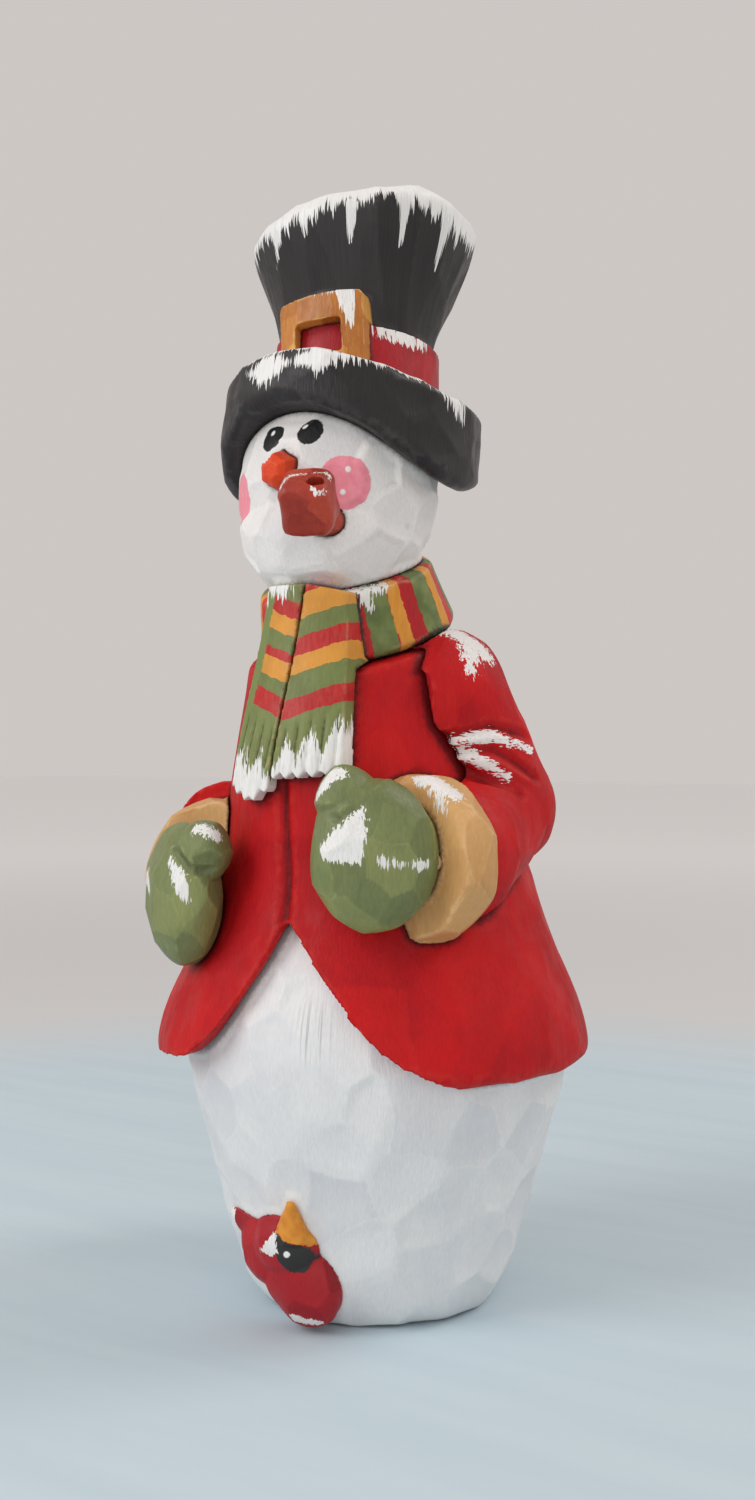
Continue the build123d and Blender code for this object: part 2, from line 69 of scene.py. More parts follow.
def arrays(mesh):
    """The mesh's vertices in mm, and its normals."""
    count = len(mesh.vertices)
    co = np.empty(count * 3, np.float32)
    no = np.empty(count * 3, np.float32)
    mesh.vertices.foreach_get("co", co)
    mesh.vertices.foreach_get("normal", no)
    return co.reshape(-1, 3).astype(float) / MM, no.reshape(-1, 3).astype(float)


boxes = {name: tuple(np.array(corner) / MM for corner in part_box(name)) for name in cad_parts}
shapes = {}
for name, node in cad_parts.items():
    node.data.calc_loop_triangles()
    corners = [tuple(t.vertices) for t in node.data.loop_triangles]
    shapes[name] = (arrays(node.data)[0], corners)


def spot(node, *share):
    """A point in mm, by its shares of a CAD node's box."""
    low, high = boxes[node]
    return low + (high - low) * np.array(share)


def spots(node, *shares):
    """Several such points."""
    return [spot(node, *share) for share in shares]


def mirrored(side, *shares):
    """Shares of a box on the left, or of its mirror image on the right."""
    return [(x if side == "left" else 1.0 - x, y, z) for x, y, z in shares]


def outline(node, *shares):
    """An outline in mm seen from the front, by its (x, z) shares of a CAD node's box."""
    return [(point[0], point[2]) for point in (spot(node, x, 0.0, z) for x, z in shares)]


def neighbours(node):
    """One search tree of every other visible CAD piece."""
    points, faces, start = [], [], 0
    for other, (co, corners) in shapes.items():
        if other == node or other.endswith("dowel"):
            continue
        points.extend(map(tuple, co))
        faces.extend((a + start, b + start, c + start) for a, b, c in corners)
        start += len(co)
    return BVHTree.FromPolygons(points, faces)


def smoothstep(value, low, high):
    """Eases from 0 at low to 1 at high."""
    t = np.clip((value - low) / (high - low), 0.0, 1.0)
    return t * t * (3.0 - 2.0 * t)


def stroke(co, points, radii):
    """Signed depth in mm inside a tapering brush stroke along some points: positive inside it."""
    best = np.full(len(co), -99.0)
    pairs = list(zip(points, points[1:])) or [(points[0], points[0])]
    for i, (a, b) in enumerate(pairs):
        a, b = np.array(a), np.array(b)
        along = b - a
        t = np.clip((co - a) @ along / max(along @ along, 1e-9), 0.0, 1.0)
        away = np.linalg.norm(co - a - t[:, None] * along, axis=1)
        start, end = radii[i], radii[min(i + 1, len(radii) - 1)]
        best = np.maximum(best, start + (end - start) * t - away)
    return best


def patch(co, corners):
    """Signed depth in mm inside an outline seen from the front: positive inside it."""
    flat = co[:, [0, 2]]
    away = np.full(len(co), 1e9)
    inside = np.zeros(len(co), bool)
    for a, b in zip(corners, corners[1:] + corners[:1]):
        a, b = np.array(a, float), np.array(b, float)
        along = b - a
        t = np.clip((flat - a) @ along / (along @ along), 0.0, 1.0)
        away = np.minimum(away, np.linalg.norm(flat - a - t[:, None] * along, axis=1))
        if a[1] != b[1]:
            crosses = (flat[:, 1] > min(a[1], b[1])) & (flat[:, 1] <= max(a[1], b[1]))
            inside ^= crosses & (flat[:, 0] < a[0] + (flat[:, 1] - a[1]) * along[0] / along[1])
    return np.where(inside, away, -away)


def blob(co, centre, radii):
    """Signed depth in mm inside an ellipsoid of paint: positive inside it."""
    radii = np.array(radii, float)
    return (1.0 - np.linalg.norm((co - centre) / radii, axis=1)) * radii.min()


class Carving:
    """A copy of a CAD piece, remeshed finely and then cut with a knife. Lengths are in mm.

    near holds how far each vertex is from the next piece, dark how much antiquing and painted shade it
    holds, shift how far it moves along its normal, and layers what the paint reads.
    """

    def __init__(self, node, voxel, smooth=3):
        self.node = node
        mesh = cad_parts[node].data.copy()
        mesh.materials.clear()
        welded = bmesh.new()
        welded.from_mesh(mesh)
        bmesh.ops.remove_doubles(welded, verts=welded.verts, dist=1e-6)
        welded.to_mesh(mesh)
        welded.free()
        rough = bpy.data.objects.new(node + "_rough", mesh)
        bpy.context.scene.collection.objects.link(rough)
        grid = rough.modifiers.new("grid", "REMESH")
        grid.mode = "VOXEL"
        grid.voxel_size = voxel * MM
        grid.use_smooth_shade = True
        if smooth:
            ease = rough.modifiers.new("ease", "SMOOTH")
            ease.factor = 0.5
            ease.iterations = smooth
        graph = bpy.context.evaluated_depsgraph_get()
        self.mesh = bpy.data.meshes.new_from_object(rough.evaluated_get(graph))
        bpy.data.objects.remove(rough)
        self.co, self.no = arrays(self.mesh)
        pairs = np.empty(len(self.mesh.edges) * 2, np.int32)
        self.mesh.edges.foreach_get("vertices", pairs)
        self.edges = pairs.reshape(-1, 2)
        tree = neighbours(node)
        found = (tree.find_nearest(point, REACH)[3] for point in self.co)
        self.near = np.array([REACH if d is None else d for d in found])
        # Darker near the other pieces: antiquing, and in part painted shade where one piece meets
        # another.
        self.dark = np.exp(-self.near / SEAM_STAIN_AND_SHADE)
        self.layers = {"facet_shading": np.zeros(len(self.co))}
        self.shift = np.zeros(len(self.co))

    def facets(self, size, depth, seed, lean=0.5, keep=1.6):
        """Shallow knife cuts: cells of about size (x, y, z), each hollowed by depth."""
        draw = np.random.RandomState(seed)
        key = np.hstack([self.co / np.array(size, float), self.no * 0.55])
        seeds = []
        for i in draw.permutation(len(key))[:5000]:
            if not seeds or (np.square(key[seeds] - key[i]).sum(1) > draw.uniform(0.45, 1.0)).all():
                seeds.append(i)
        middle = key[seeds]
        weight = draw.uniform(0.6, 1.45, len(seeds))
        # A random tone for each cut, stored as facet_shading: painted light and shade, each facet
        # lighter or darker as if it caught the light its own way.
        tone = draw.uniform(0.0, 1.0, len(seeds))
        slope = draw.normal(0.0, 1.0, (len(seeds), 3))
        cut, shade = np.empty(len(key)), np.empty(len(key))
        for start in range(0, len(key), 20000):
            part = slice(start, start + 20000)
            away = (
                np.square(key[part]).sum(1)[:, None]
                + np.square(middle).sum(1)
                - 2.0 * key[part] @ middle.T
            ) * weight
            first = away.argmin(1)
            nearest = np.partition(away, 1, axis=1)[:, :2]
            gap = np.sqrt(np.maximum(nearest[:, 1], 0)) - np.sqrt(np.maximum(nearest[:, 0], 0))
            offset = (self.co[part] - self.co[seeds][first]) / np.array(size, float)
            tilt = (offset * slope[first]).sum(1) * smoothstep(gap, 0.0, 0.35) * lean
            cut[part] = np.minimum(nearest[:, 0] / 0.42, 1.15) - 1.0 + tilt
            shade[part] = tone[first]
        self.shift += np.minimum(depth * cut, RIDGE_HEIGHT) * smoothstep(self.near, 0.0, keep)
        self.layers["facet_shading"] = shade

    def groove(self, points, width, depth, dark=0.7):
        """A V-cut along some points."""
        inside = np.maximum(stroke(self.co, points, [width] * len(points)) / width, 0.0)
        self.shift -= depth * inside
        self.dark = np.maximum(self.dark, dark * inside**1.5)

    def valley(self, width, depth, dark=0.8):
        """A V-cut along the seams with the neighbouring pieces."""
        inside = np.maximum(1.0 - self.near / width, 0.0)
        self.shift -= depth * inside
        self.dark = np.maximum(self.dark, dark * inside**1.4)

    def line(self, points, width, depth, dark=0.8):
        """A V-cut along some points as seen from the front, on what faces that way."""
        flat = self.co * (1.0, 0.0, 1.0)
        flat_points = [point * (1.0, 0.0, 1.0) for point in points]
        inside = np.maximum(stroke(flat, flat_points, [width] * len(points)) / width, 0.0)
        inside *= smoothstep(-self.no[:, 1], 0.2, 0.6)
        self.shift -= depth * inside
        self.dark = np.maximum(self.dark, dark * inside**1.4)

    def plane(self, point, normal):
        """A flat cut: everything beyond the plane is pared back onto it."""
        normal = np.array(normal, float) / np.linalg.norm(normal)
        over = (self.co - np.array(point)) @ normal
        self.co -= np.maximum(over, 0.0)[:, None] * normal

    def unroll(self, axis, radius):
        """Layers for brush marks that run straight up and down round an upright axis at (x, y)."""
        offset = self.co[:, :2] - np.array(axis)
        self.layers["across"] = np.arctan2(offset[:, 0], -offset[:, 1]) * radius
        self.layers["up"] = self.co[:, 2]

    def ease_seams(self, width=1.3, times=10):
        """Rounds the thin edges along the seams with the neighbouring pieces."""
        share = smoothstep(self.near, width, 0.3 * width)[:, None]
        eased = np.stack([self.average(self.co[:, axis], times) for axis in range(3)], axis=1)
        self.co += share * (eased - self.co)

    def average(self, values, times):
        """Values eased over the mesh's neighbours."""
        a, b = self.edges.T
        count = np.bincount(a, minlength=len(self.co)) + np.bincount(b, minlength=len(self.co))
        for _ in range(times):
            total = np.bincount(a, values[b], len(self.co)) + np.bincount(b, values[a], len(self.co))
            values = 0.4 * values + 0.6 * total / np.maximum(count, 1)
        return values

    def finish(self, material, name):
        """The carved piece as an object on the frame."""
        moved = self.co + self.no * self.shift[:, None]
        eased = np.stack([self.average(moved[:, axis], 6) for axis in range(3)], axis=1)
        bend = ((moved - eased) * self.no).sum(1)
        self.layers["ridge"] = np.clip(bend / RIDGE_HEIGHT, -1.0, 1.0)
        self.layers["dark"] = self.dark
        self.mesh.vertices.foreach_set("co", (moved * MM).astype(np.float32).ravel())
        for layer, values in self.layers.items():
            attribute = self.mesh.attributes.new(layer, "FLOAT", "POINT")
            attribute.data.foreach_set("value", values.astype(np.float32))
        self.mesh.materials.clear()
        self.mesh.materials.append(material)
        self.mesh.update()
        self.mesh.shade_smooth()
        self.mesh.name = name
        piece = bpy.data.objects.new(name, self.mesh)
        bpy.context.scene.collection.objects.link(piece)
        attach(piece, "root")
        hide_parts(self.node)


# ---------------------------------------------------------------- paints


def srgb(*channels):
    """A paint colour from its red, green and blue screen values, 0 to 255."""
    shares = [value / 255 for value in channels]
    linear = [v / 12.92 if v < 0.0405 else ((v + 0.055) / 1.055) ** 2.4 for v in shares]
    return (*linear, 1.0)


SNOW = srgb(243, 242, 239)
SNOW_SHADE = srgb(205, 208, 211)
STAIN_SHADE_DARK = srgb(40, 33, 28)
RED = srgb(200, 18, 24)
RED_DEEP = srgb(150, 10, 22)
RED_LIGHT = srgb(218, 28, 24)
RED_WORN = srgb(214, 58, 46)
MAROON = srgb(84, 8, 14)
GREEN = srgb(120, 134, 76)
GOLD = srgb(222, 154, 58)


class Paint:
    """A node material put together layer by layer; a wrapped one is brushed round an upright axis."""

    def __init__(self, name, wrapped=False):
        self.material = bpy.data.materials.new(name)
        self.material.use_nodes = True
        self.tree = self.material.node_tree
        self.shader = self.tree.nodes["Principled BSDF"]
        if wrapped:
            unrolled = self.add("ShaderNodeCombineXYZ")
            self.feed(unrolled.inputs["X"], self.layer("across"))
            self.feed(unrolled.inputs["Z"], self.layer("up"))
            self.place = unrolled.outputs["Vector"]
        else:
            coords = self.add("ShaderNodeTexCoord")
            self.place = self.vector(coords.outputs["Object"], (1 / MM,) * 3)
        self.colour = None
        self.height = 0.0
        self.bristle = None

    def add(self, kind, **settings):
        node = self.tree.nodes.new(kind)
        for key, value in settings.items():
            setattr(node, key, value)
        return node

    def feed(self, socket, value):
        if isinstance(value, bpy.types.NodeSocket):
            self.tree.links.new(value, socket)
        else:
            socket.default_value = value

    def vector(self, a, b, operation="MULTIPLY"):
        node = self.add("ShaderNodeVectorMath", operation=operation)
        self.feed(node.inputs[0], a)
        self.feed(node.inputs[1], b)
        return node.outputs[0]

    def math(self, operation, a, b=0.0):
        node = self.add("ShaderNodeMath", operation=operation)
        self.feed(node.inputs[0], a)
        self.feed(node.inputs[1], b)
        return node.outputs[0]

    def ramp(self, value, low, high, start=0.0, end=1.0):
        node = self.add("ShaderNodeMapRange", interpolation_type="SMOOTHSTEP")
        for socket, given in zip(node.inputs, (value, low, high, start, end)):
            self.feed(socket, given)
        return node.outputs[0]

    def layer(self, name):
        """A value that the carving stored on each vertex."""
        return self.add("ShaderNodeAttribute", attribute_name=name).outputs["Fac"]

    def noise(self, stretch, detail=3.0, rough=0.55, shift=0.0, spread=0.2):
        """Noise from 0 to 1, with stretch (x, y, z) waves per mm."""
        place = self.vector(self.vector(self.place, stretch), (shift,) * 3, "ADD")
        node = self.add("ShaderNodeTexNoise")
        self.feed(node.inputs["Vector"], place)
        node.inputs["Scale"].default_value = 1.0
        node.inputs["Detail"].default_value = detail
        node.inputs["Roughness"].default_value = rough
        return self.ramp(node.outputs["Fac"], 0.5 - spread, 0.5 + spread)

    def mix(self, share, a, b):
        """Colour a, going over to b. On this node, sockets 6 and 7 are the colours and 2 the result."""
        node = self.add("ShaderNodeMix", data_type="RGBA")
        self.feed(node.inputs[0], share)
        self.feed(node.inputs[6], a)
        self.feed(node.inputs[7], b)
        return node.outputs[2]

    def cover(self, mask, colour, strength=1.0):
        """Paints a colour over what is there, where the mask is 1."""
        if strength != 1.0:
            mask = self.math("MULTIPLY", mask, strength)
        self.colour = self.mix(mask, self.colour, colour)

    def raise_by(self, mask, amount):
        """Thickens the paint where the mask is 1."""
        self.height = self.math("ADD", self.height, self.math("MULTIPLY", mask, amount))

    def base(self, deep, plain, light, bristle=(1.6, 1.6, 0.14), facet_shading=0.3, soft=0.35):
        """Uneven brushed acrylic: clouds and bristle marks, with painted light and shade on each knife
        cut, lighter or darker by its random tone as if it caught the light its own way.
        """
        cloud = self.noise((0.11, 0.11, 0.08), 4.0, 0.6)
        self.colour = self.mix(self.math("MULTIPLY", cloud, soft), plain, deep)
        # Painted light and shade per knife cut: the light colour on some facets, the deep one on others.
        tone = self.layer("facet_shading")
        self.cover(self.math("MULTIPLY", self.ramp(tone, 0.55, 1.0), facet_shading), light)
        self.cover(self.math("MULTIPLY", self.ramp(tone, 0.4, 0.0), facet_shading), deep)
        hairs = self.noise(bristle, 4.0, 0.6, 7.0)
        self.cover(hairs, light, 0.16)
        fine = self.noise(tuple(2.2 * v for v in bristle), 2.0, 0.5, 19.0, 0.12)
        self.cover(fine, deep, 0.14)
        self.raise_by(hairs, 0.5)
        self.raise_by(fine, 0.3)
        self.bristle = bristle
        return self

    def wear(self, light, ridge=0.5, stain_and_shade=0.85, stain_shade_colour=STAIN_SHADE_DARK):
        """Paler paint along the ridges, and darkening in the seams, V-cuts and hollows: antiquing, and
        in part painted shade where pieces meet and folds crease.
        """
        bend = self.layer("ridge")
        patchy = self.noise((0.5, 0.5, 0.5), 3.0, 0.6, 31.0)
        edge = self.math("MULTIPLY", self.ramp(bend, 0.15, 0.8), self.ramp(patchy, 0.1, 0.8))
        self.cover(edge, light, ridge)
        rough = self.noise((1.3, 1.3, 1.3), 3.0, 0.6, 43.0)
        ragged = self.math("MULTIPLY", self.math("SUBTRACT", rough, 0.5), 0.3)
        seam = self.math("ADD", self.layer("dark"), ragged)
        # Antiquing and painted shade in the hollows and along the seams.
        hollow = self.ramp(bend, -0.25, -0.9)
        self.cover(hollow, stain_shade_colour, 0.3 * stain_and_shade)
        self.cover(self.ramp(seam, 0.15, 1.0), stain_shade_colour, stain_and_shade)
        return self

    def snow(self, layer="snow", reach=2.4, bristle=None, strength=0.97):
        """Dry-brushed snow: solid well inside the layer, broken into bristle streaks at its edge."""
        bristle = bristle or self.bristle
        streaks = self.noise(bristle, 1.0, 0.5, 57.0, 0.16)
        flecks = self.noise((2.6 * bristle[0], 2.6 * bristle[1], 1.6 * bristle[2]), 2.0, 0.5, 71.0, 0.15)
        grain = self.math("ADD", self.math("MULTIPLY", streaks, 0.5), self.math("MULTIPLY", flecks, 0.5))
        cover = self.ramp(self.layer(layer), -reach, reach * 0.6)
        gap = self.math("SUBTRACT", self.math("MULTIPLY", cover, 1.1), grain)
        mask = self.ramp(gap, 0.02, 0.14)
        shade = self.mix(self.math("MULTIPLY", flecks, 0.35), SNOW, SNOW_SHADE)
        self.cover(mask, shade, strength)
        self.raise_by(mask, 1.6)

    def spot(self, layer, colour, soft, wobble):
        """A hand-painted shape: a layer's positive side, with a slightly wavering edge."""
        drift = self.noise((0.9, 0.9, 0.9), 2.0, 0.5, 13.0)
        waver = self.math("MULTIPLY", self.math("SUBTRACT", drift, 0.5), wobble)
        mask = self.ramp(self.math("ADD", self.layer(layer), waver), -soft, soft)
        self.cover(mask, colour)
        self.raise_by(mask, 0.8)

    def done(self, rough=0.48, bump=0.4, shine=0.35):
        """The finished material: satin acrylic."""
        self.feed(self.shader.inputs["Base Color"], self.colour)
        patchy = self.noise((0.35, 0.35, 0.2), 3.0, 0.6, 3.0)
        roughness = self.ramp(patchy, 0.0, 1.0, rough - 0.07, rough + 0.1)
        self.feed(self.shader.inputs["Roughness"], roughness)
        self.shader.inputs["Specular IOR Level"].default_value = shine
        bump_node = self.add("ShaderNodeBump")
        bump_node.inputs["Strength"].default_value = bump
        bump_node.inputs["Distance"].default_value = BUMP_HEIGHT * MM
        self.feed(bump_node.inputs["Height"], self.height)
        self.feed(self.shader.inputs["Normal"], bump_node.outputs["Normal"])
        return self.material


def striped(paint, coordinate, bands, wobble):
    """Hand-painted stripes: bands are (start, colour), in order along a coordinate from 0 to 1."""
    waver = paint.math("SUBTRACT", paint.noise((0.5, 0.5, 0.5), 2.0, 0.5, 23.0), 0.5)
    value = paint.math("ADD", coordinate, paint.math("MULTIPLY", waver, wobble))
    ramp = paint.add("ShaderNodeValToRGB")
    ramp.color_ramp.interpolation = "CONSTANT"
    stops = ramp.color_ramp.elements
    stops[0].position, stops[0].color = 0.0, bands[0][1]
    stops[1].position, stops[1].color = bands[1]
    for start, colour in bands[2:]:
        stops.new(start).color = colour
    paint.feed(ramp.inputs[0], value)
    cloud = paint.noise((0.2, 0.2, 0.2), 4.0, 0.6)
    hairs = paint.noise((1.8, 1.8, 0.4), 3.0, 0.6, 7.0)
    paint.colour = ramp.outputs["Color"]
    paint.cover(cloud, srgb(60, 30, 16), 0.18)
    paint.cover(hairs, srgb(235, 200, 150), 0.05)
    paint.raise_by(hairs, 0.5)


# ---------------------------------------------------------------- the body

BODY_RADIUS = 30.0

body = Carving("body", 0.5)
body.facets((9.0, 9.0, 10.5), 0.55, 14, 0.6)
worn = blob(body.co, spot("body", 0.62, 0.05, 0.72), (4.0, 6.0, 6.5))
body.layers["brushed"] = smoothstep(worn, -1.0, 3.0)
# The body keeps its seam darkening only up by the coat's hem: a painted shadow under the hem, with a
# little antiquing.
body.dark *= smoothstep(body.co[:, 2], 22.0, 34.0)
body.unroll((0.0, 0.0), BODY_RADIUS)
whites = srgb(196, 200, 208), srgb(236, 236, 235), srgb(248, 248, 247)
paint = Paint("snow_body", wrapped=True).base(*whites, (1.6, 1.6, 0.3), 0.3, 0.3)
scratches = paint.noise((2.6, 2.6, 0.05), 1.0, 0.5, 37.0, 0.10)
scratches = paint.math("MULTIPLY", paint.ramp(scratches, 0.6, 1.0), paint.layer("brushed"))
paint.cover(scratches, srgb(170, 172, 176), 0.6)
paint.wear(SNOW, 0.5, 0.45)
body.finish(paint.done(0.5, 0.45), "body_carved")

# ---------------------------------------------------------------- the coat

coat = Carving("coat", 0.6)
coat.facets((13.0, 13.0, 17.0), 0.4, 23)
coat.ease_seams()
coat.valley(2.0, 0.25, 0.8)
opening = spots("coat", (0.505, 0, 0.66), (0.512, 0, 0.55), (0.528, 0, 0.34))
coat.line(opening, 1.5, 1.0, dark=0.95)
red = Paint("coat_red").base(RED_DEEP, RED, RED_LIGHT, facet_shading=0.35, soft=0.6)
red.wear(RED_WORN, 0.3, 0.85, MAROON)
coat.finish(red.done(0.55, 0.4, shine=0.2), "coat_carved")

# ---------------------------------------------------------------- the sleeves


# Each fold's points, as shares of the left sleeve's box.
FOLDS = (
    ((0.34, 0.11, 0.60), (0.68, 0.33, 0.65), (0.84, 0.62, 0.62)),
    ((0.40, 0.15, 0.56), (0.68, 0.34, 0.57), (0.90, 0.60, 0.48)),
    ((0.50, 0.22, 0.51), (0.84, 0.44, 0.42)),
)
for side in ("left", "right"):
    node = side + "_sleeve"
    sleeve = Carving(node, 0.42)
    sleeve.facets((10.0, 10.0, 14.0), 0.5, 31 if side == "left" else 32)
    sleeve.ease_seams()
    sleeve.valley(2.0, 0.3, 0.8)
    for fold in FOLDS:
        sleeve.groove(spots(node, *mirrored(side, *fold)), 1.5, 1.1)
    shoulder = spots(node, *mirrored(side, (0.25, 0.36, 0.99), (0.52, 0.42, 0.92)))
    tip = spots(node, *mirrored(side, (0.45, 0.36, 0.95), (0.56, 0.25, 0.84)))
    snow = np.maximum(stroke(sleeve.co, shoulder, [2.6, 2.2]), stroke(sleeve.co, tip, [2.0, 0.4]))
    sleeve.layers["snow"] = snow
    upper = spots(node, *mirrored(side, (0.44, 0.17, 0.60), (0.70, 0.33, 0.62), (0.82, 0.60, 0.57)))
    lower = spots(node, *mirrored(side, (0.38, 0.13, 0.55), (0.58, 0.24, 0.55), (0.77, 0.40, 0.48)))
    sleeve.layers["stroke"] = np.maximum(
        stroke(sleeve.co, upper, [0.7, 0.9, 0.4]), stroke(sleeve.co, lower, [0.6, 1.0, 0.3])
    )
    red = Paint(side + "_sleeve_red").base(RED_DEEP, RED, RED_LIGHT, facet_shading=0.4, soft=0.6)
    red.wear(RED_WORN, 0.35, 0.85, MAROON)
    red.snow("snow", 2.4)
    red.snow("stroke", 1.1, (0.45, 0.45, 2.4))
    sleeve.finish(red.done(0.55, 0.4, shine=0.2), side + "_sleeve_carved")

# ---------------------------------------------------------------- cuffs and mittens

for side in ("left", "right"):
    node = side + "_cuff"
    cuff = Carving(node, 0.36)
    cuff.facets((8.0, 8.0, 9.0), 0.55, 41 if side == "left" else 42, keep=1.0)
    if side == "left":
        line = stroke(cuff.co, spots(node, (0.36, 0.30, 0.98), (0.66, 0.30, 0.89)), [1.4, 1.5])
        drip = stroke(cuff.co, spots(node, (0.55, 0.25, 0.92), (0.62, 0.10, 0.80)), [1.8, 0.3])
        cuff.layers["snow"] = np.maximum(line, drip)
    else:
        line = spots(node, (0.30, 0.30, 0.93), (0.10, 0.30, 0.80))
        cuff.layers["snow"] = stroke(cuff.co, line, [0.5, 0.5])
    tans = srgb(176, 124, 70), srgb(216, 166, 106), srgb(232, 190, 128)
    tan = Paint(node + "_tan").base(*tans, (1.4, 1.4, 0.3), 0.5, 0.4)
    tan.wear(srgb(232, 196, 142), 0.5, 0.85)
    tan.snow("snow", 1.8, (1.8, 1.8, 0.2))
    cuff.finish(tan.done(0.46, 0.45), node + "_carved")

    node = side + "_mitten"
    hand = Carving(node, 0.34)
    hand.facets((6.8, 6.8, 7.2), 0.42, 51 if side == "left" else 52, keep=1.0)
    if side == "left":
        palm = outline(node, (0.56, 0.76), (0.24, 0.53), (0.26, 0.46), (0.58, 0.44), (0.62, 0.62))
        snow = patch(hand.co, palm)
        thumb = spots(node, (0.10, 0.12, 0.80), (0.26, 0.20, 0.97), (0.5, 0.2, 0.97))
        thumb = stroke(hand.co, thumb, [0.6, 1.2, 0.5])
        dash = stroke(hand.co, spots(node, (0.74, 0.25, 0.44), (0.97, 0.6, 0.42)), [0.8, 0.5])
        behind = hand.co[:, 1] > spot(node, 0, 0.75, 0)[1]
        hand.layers["snow"] = np.maximum.reduce([snow, thumb, dash]) - 99.0 * behind
        notch = spots(node, (0.10, 0.25, 0.66), (0.40, 0.06, 0.70), (0.60, 0.16, 0.80))
    else:
        thumb = stroke(hand.co, spots(node, (0.80, 0.2, 0.93), (0.96, 0.25, 0.90)), [1.1, 0.9])
        streak = spots(node, (0.56, 0.05, 0.73), (0.70, 0.03, 0.60), (0.76, 0.04, 0.48))
        streak = stroke(hand.co, streak, [0.5, 1.3, 0.6])
        edge = stroke(hand.co, spots(node, (0.22, 0.2, 0.62), (0.28, 0.16, 0.52)), [0.9, 0.4])
        hand.layers["snow"] = np.maximum.reduce([thumb, streak, edge])
        notch = spots(node, (0.99, 0.25, 0.66), (0.80, 0.08, 0.66), (0.60, 0.10, 0.80))
    hand.groove(notch, 1.1, 0.5, 0.6)
    greens = srgb(92, 102, 66), srgb(128, 140, 88), srgb(164, 166, 100)
    green = Paint(node + "_green").base(*greens, (1.4, 1.4, 0.25), 0.45, 0.6)
    green.wear(srgb(168, 174, 116), 0.45, 0.75)
    green.snow("snow", 1.1, (1.9, 1.9, 0.25))
    hand.finish(green.done(0.42, 0.45), node + "_carved")

# ---------------------------------------------------------------- the head

head = Carving("head", 0.34)
head.facets((8.2, 8.2, 8.2), 0.7, 61, 0.65)
near_eye, far_eye = spots("head", (0.624, 0.09, 0.874), (0.415, 0.07, 0.862))
near_cheek, far_cheek = spots("head", (0.805, 0.12, 0.578), (0.18, 0.13, 0.55))
head.layers["eyes"] = np.maximum(
    blob(head.co, near_eye, (2.15, 3.0, 2.5)),
    blob(head.co, far_eye, (2.3, 3.0, 2.5)),
)
head.layers["glints"] = np.maximum(
    blob(head.co, spot("head", 0.592, 0.09, 0.907), (0.5, 2.0, 0.5)),
    blob(head.co, spot("head", 0.412, 0.08, 0.887), (0.42, 2.0, 0.5)),
)
head.layers["cheeks"] = np.maximum(
    stroke(head.co, [near_cheek], [4.4]),
    stroke(head.co, [far_cheek], [4.3]),
)
near_dots = (0.816, 0.13, 0.647), (0.797, 0.117, 0.523)
far_dots = (0.17, 0.12, 0.63), (0.18, 0.12, 0.50)
dots = spots("head", *near_dots, *far_dots)
head.layers["dots"] = np.maximum.reduce([stroke(head.co, [dot], [0.5]) for dot in dots])
lick = spots("head", (0.70, 0.11, 0.34), (0.71, 0.11, 0.26))
head.layers["lick"] = stroke(head.co, lick, [1.4, 0.8])
whites = srgb(194, 196, 202), srgb(240, 237, 233), srgb(250, 249, 246)
face = Paint("snow_face").base(*whites, (1.4, 1.4, 0.5), 0.5, 0.25)
face.wear(SNOW, 0.5, 0.55)
pink = face.mix(face.noise((0.7, 0.7, 0.7), 3.0), srgb(244, 152, 166), srgb(238, 138, 154))
hairs = face.noise((1.9, 1.9, 0.12), 2.0, 0.5, 37.0, 0.10)
lick = face.math("MULTIPLY", face.ramp(hairs, 0.5, 0.9), face.ramp(face.layer("lick"), -0.5, 0.6))
face.cover(lick, srgb(110, 100, 94), 0.6)
face.spot("cheeks", pink, 0.15, 0.25)
face.spot("dots", SNOW, 0.14, 0.15)
face.spot("eyes", srgb(26, 28, 28), 0.1, 0.25)
face.spot("glints", SNOW, 0.12, 0.1)
head.finish(face.done(0.46, 0.4), "head_carved")

# ---------------------------------------------------------------- nose and pipe

nose = Carving("nose", 0.2, 1)
tip = spots("nose", (0.05, 0.3, 0.70), (0.30, 0.1, 0.72), (0.42, 0.5, 0.98))
nose.layers["snow"] = stroke(nose.co, tip, [1.0, 0.8, 0.3])
oranges = srgb(204, 42, 12), srgb(236, 76, 22), srgb(248, 108, 40)
orange = Paint("carrot_orange").base(*oranges, (1.6, 0.8, 1.6), 0.3, 0.6)
orange.wear(srgb(240, 130, 70), 0.5, 0.8)
orange.snow("snow", 0.9, (2.4, 2.4, 1.2))
nose.finish(orange.done(0.42, 0.4), "nose_carved")

BROWNS = srgb(122, 32, 22), srgb(180, 56, 38), srgb(200, 80, 52)

bowl = Carving("pipe_bowl", 0.22, 2)
bowl.facets((4.5, 4.5, 5.0), 0.25, 71, keep=0.6)
rim_left = (0.36, 0.04, 0.66), (0.38, 0.2, 0.86)
rim_right = (0.66, 0.34, 0.89), (0.88, 0.52, 0.86), (0.97, 0.45, 0.76)
rim = spots("pipe_bowl", *rim_left, *rim_right)
crescent = spots("pipe_bowl", (0.82, 0.12, 0.64), (0.90, 0.16, 0.56), (0.99, 0.28, 0.58))
bowl.layers["snow"] = np.maximum(
    stroke(bowl.co, rim, [0.2, 0.2, -0.2, 0.3, 0.0]),
    stroke(bowl.co, crescent, [0.0, 0.3, 0.0]),
)
wood = Paint("pipe_bowl_brown").base(*BROWNS, (1.2, 1.2, 0.8), 0.6, 0.7)
wood.wear(srgb(176, 88, 66), 0.5, 0.8)
wood.snow("snow", 0.9, (2.2, 2.2, 1.2))
bowl.finish(wood.done(0.4, 0.4), "pipe_bowl_carved")

